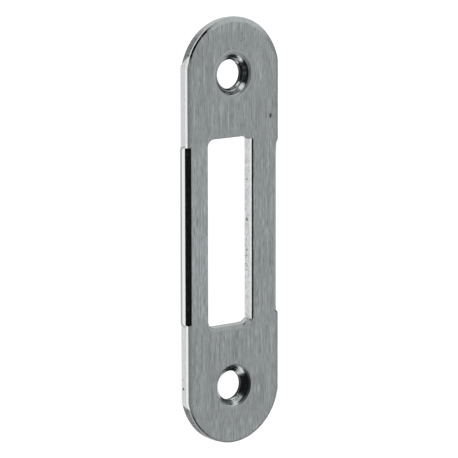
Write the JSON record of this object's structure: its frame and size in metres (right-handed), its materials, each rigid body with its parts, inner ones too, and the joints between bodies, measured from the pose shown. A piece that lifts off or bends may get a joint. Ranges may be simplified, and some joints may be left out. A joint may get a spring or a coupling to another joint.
{
  "type": "door strike plate",
  "caption": "Flat strike plate with rounded ends, a rectangular latch window between coined side bevels, and countersunk screw holes.",
  "frame": {"origin": "middle of the flat back face, halfway between the two screw holes, where the plate seats in the door frame", "axes": "+Z along the plate's length, +Y out of its back into the door frame, -Y out of its front, +X across it towards the wider rim beside the window"},
  "size_m": [0.0224, 0.002, 0.082],
  "materials": {
    "steel": "brushed along its length, with polished bevels and countersinks and bare cut edges"
  },
  "bodies": {
    "root": {"strike_plate": "steel"}
  },
  "joints": []
}
